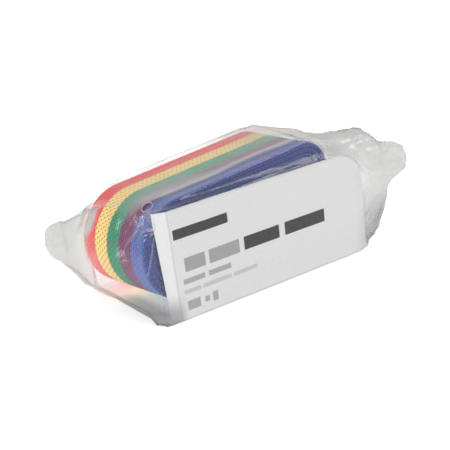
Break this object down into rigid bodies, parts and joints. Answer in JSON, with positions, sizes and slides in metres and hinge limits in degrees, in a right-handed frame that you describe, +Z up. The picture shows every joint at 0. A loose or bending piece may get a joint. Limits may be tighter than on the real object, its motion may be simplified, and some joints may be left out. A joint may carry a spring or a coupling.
{
  "type": "gait belt",
  "caption": "Striped cotton transfer belt rolled round its toothed metal buckle, with a plain insert card, in a clear film bag.",
  "frame": {"origin": "on the floor under the middle of the roll, at half the belt's width", "axes": "+Z up, +X along the roll towards the bag's open mouth, card facing -Y"},
  "size_m": [0.21, 0.0664, 0.0669],
  "materials": {
    "cotton_webbing": "ribbed cotton webbing with five woven stripes",
    "nickel_steel": "bright nickel plate over stamped steel",
    "spring_steel": "drawn spring wire",
    "sewing_thread": "bonded thread",
    "label_fabric": "woven label tape, blank",
    "printed_card": "matt coated white card with plain grey bars",
    "clear_film": "thin hazy polyethylene film"
  },
  "bodies": {
    "belt_roll": {"webbing_strap": "cotton_webbing", "strap_end_tip": "nickel_steel", "buckle_frame": "nickel_steel", "web_bar": "nickel_steel", "jaw_pin": "nickel_steel", "jaw_spring": "spring_steel", "fold_stitching": "sewing_thread", "care_label": "label_fabric"},
    "jaw": {"buckle_jaw": "nickel_steel"},
    "card": {"insert_card": "printed_card"},
    "bag": {"poly_bag": "clear_film"}
  },
  "joints": [
    {"name": "jaw_hinge", "type": "hinge", "parent": "belt_roll", "child": "jaw", "pos_m": [-0.015, 0.00315, 0.02627], "axis": [0, -0.9903, 0.1392], "range_deg": [0, 45]},
    {"name": "card_slide", "type": "slide", "parent": "belt_roll", "child": "card", "axis": [1, 0, 0], "range_m": [0, 0.16]},
    {"name": "bag_slide", "type": "slide", "parent": "belt_roll", "child": "bag", "axis": [-1, 0, 0], "range_m": [0, 0.2]}
  ]
}
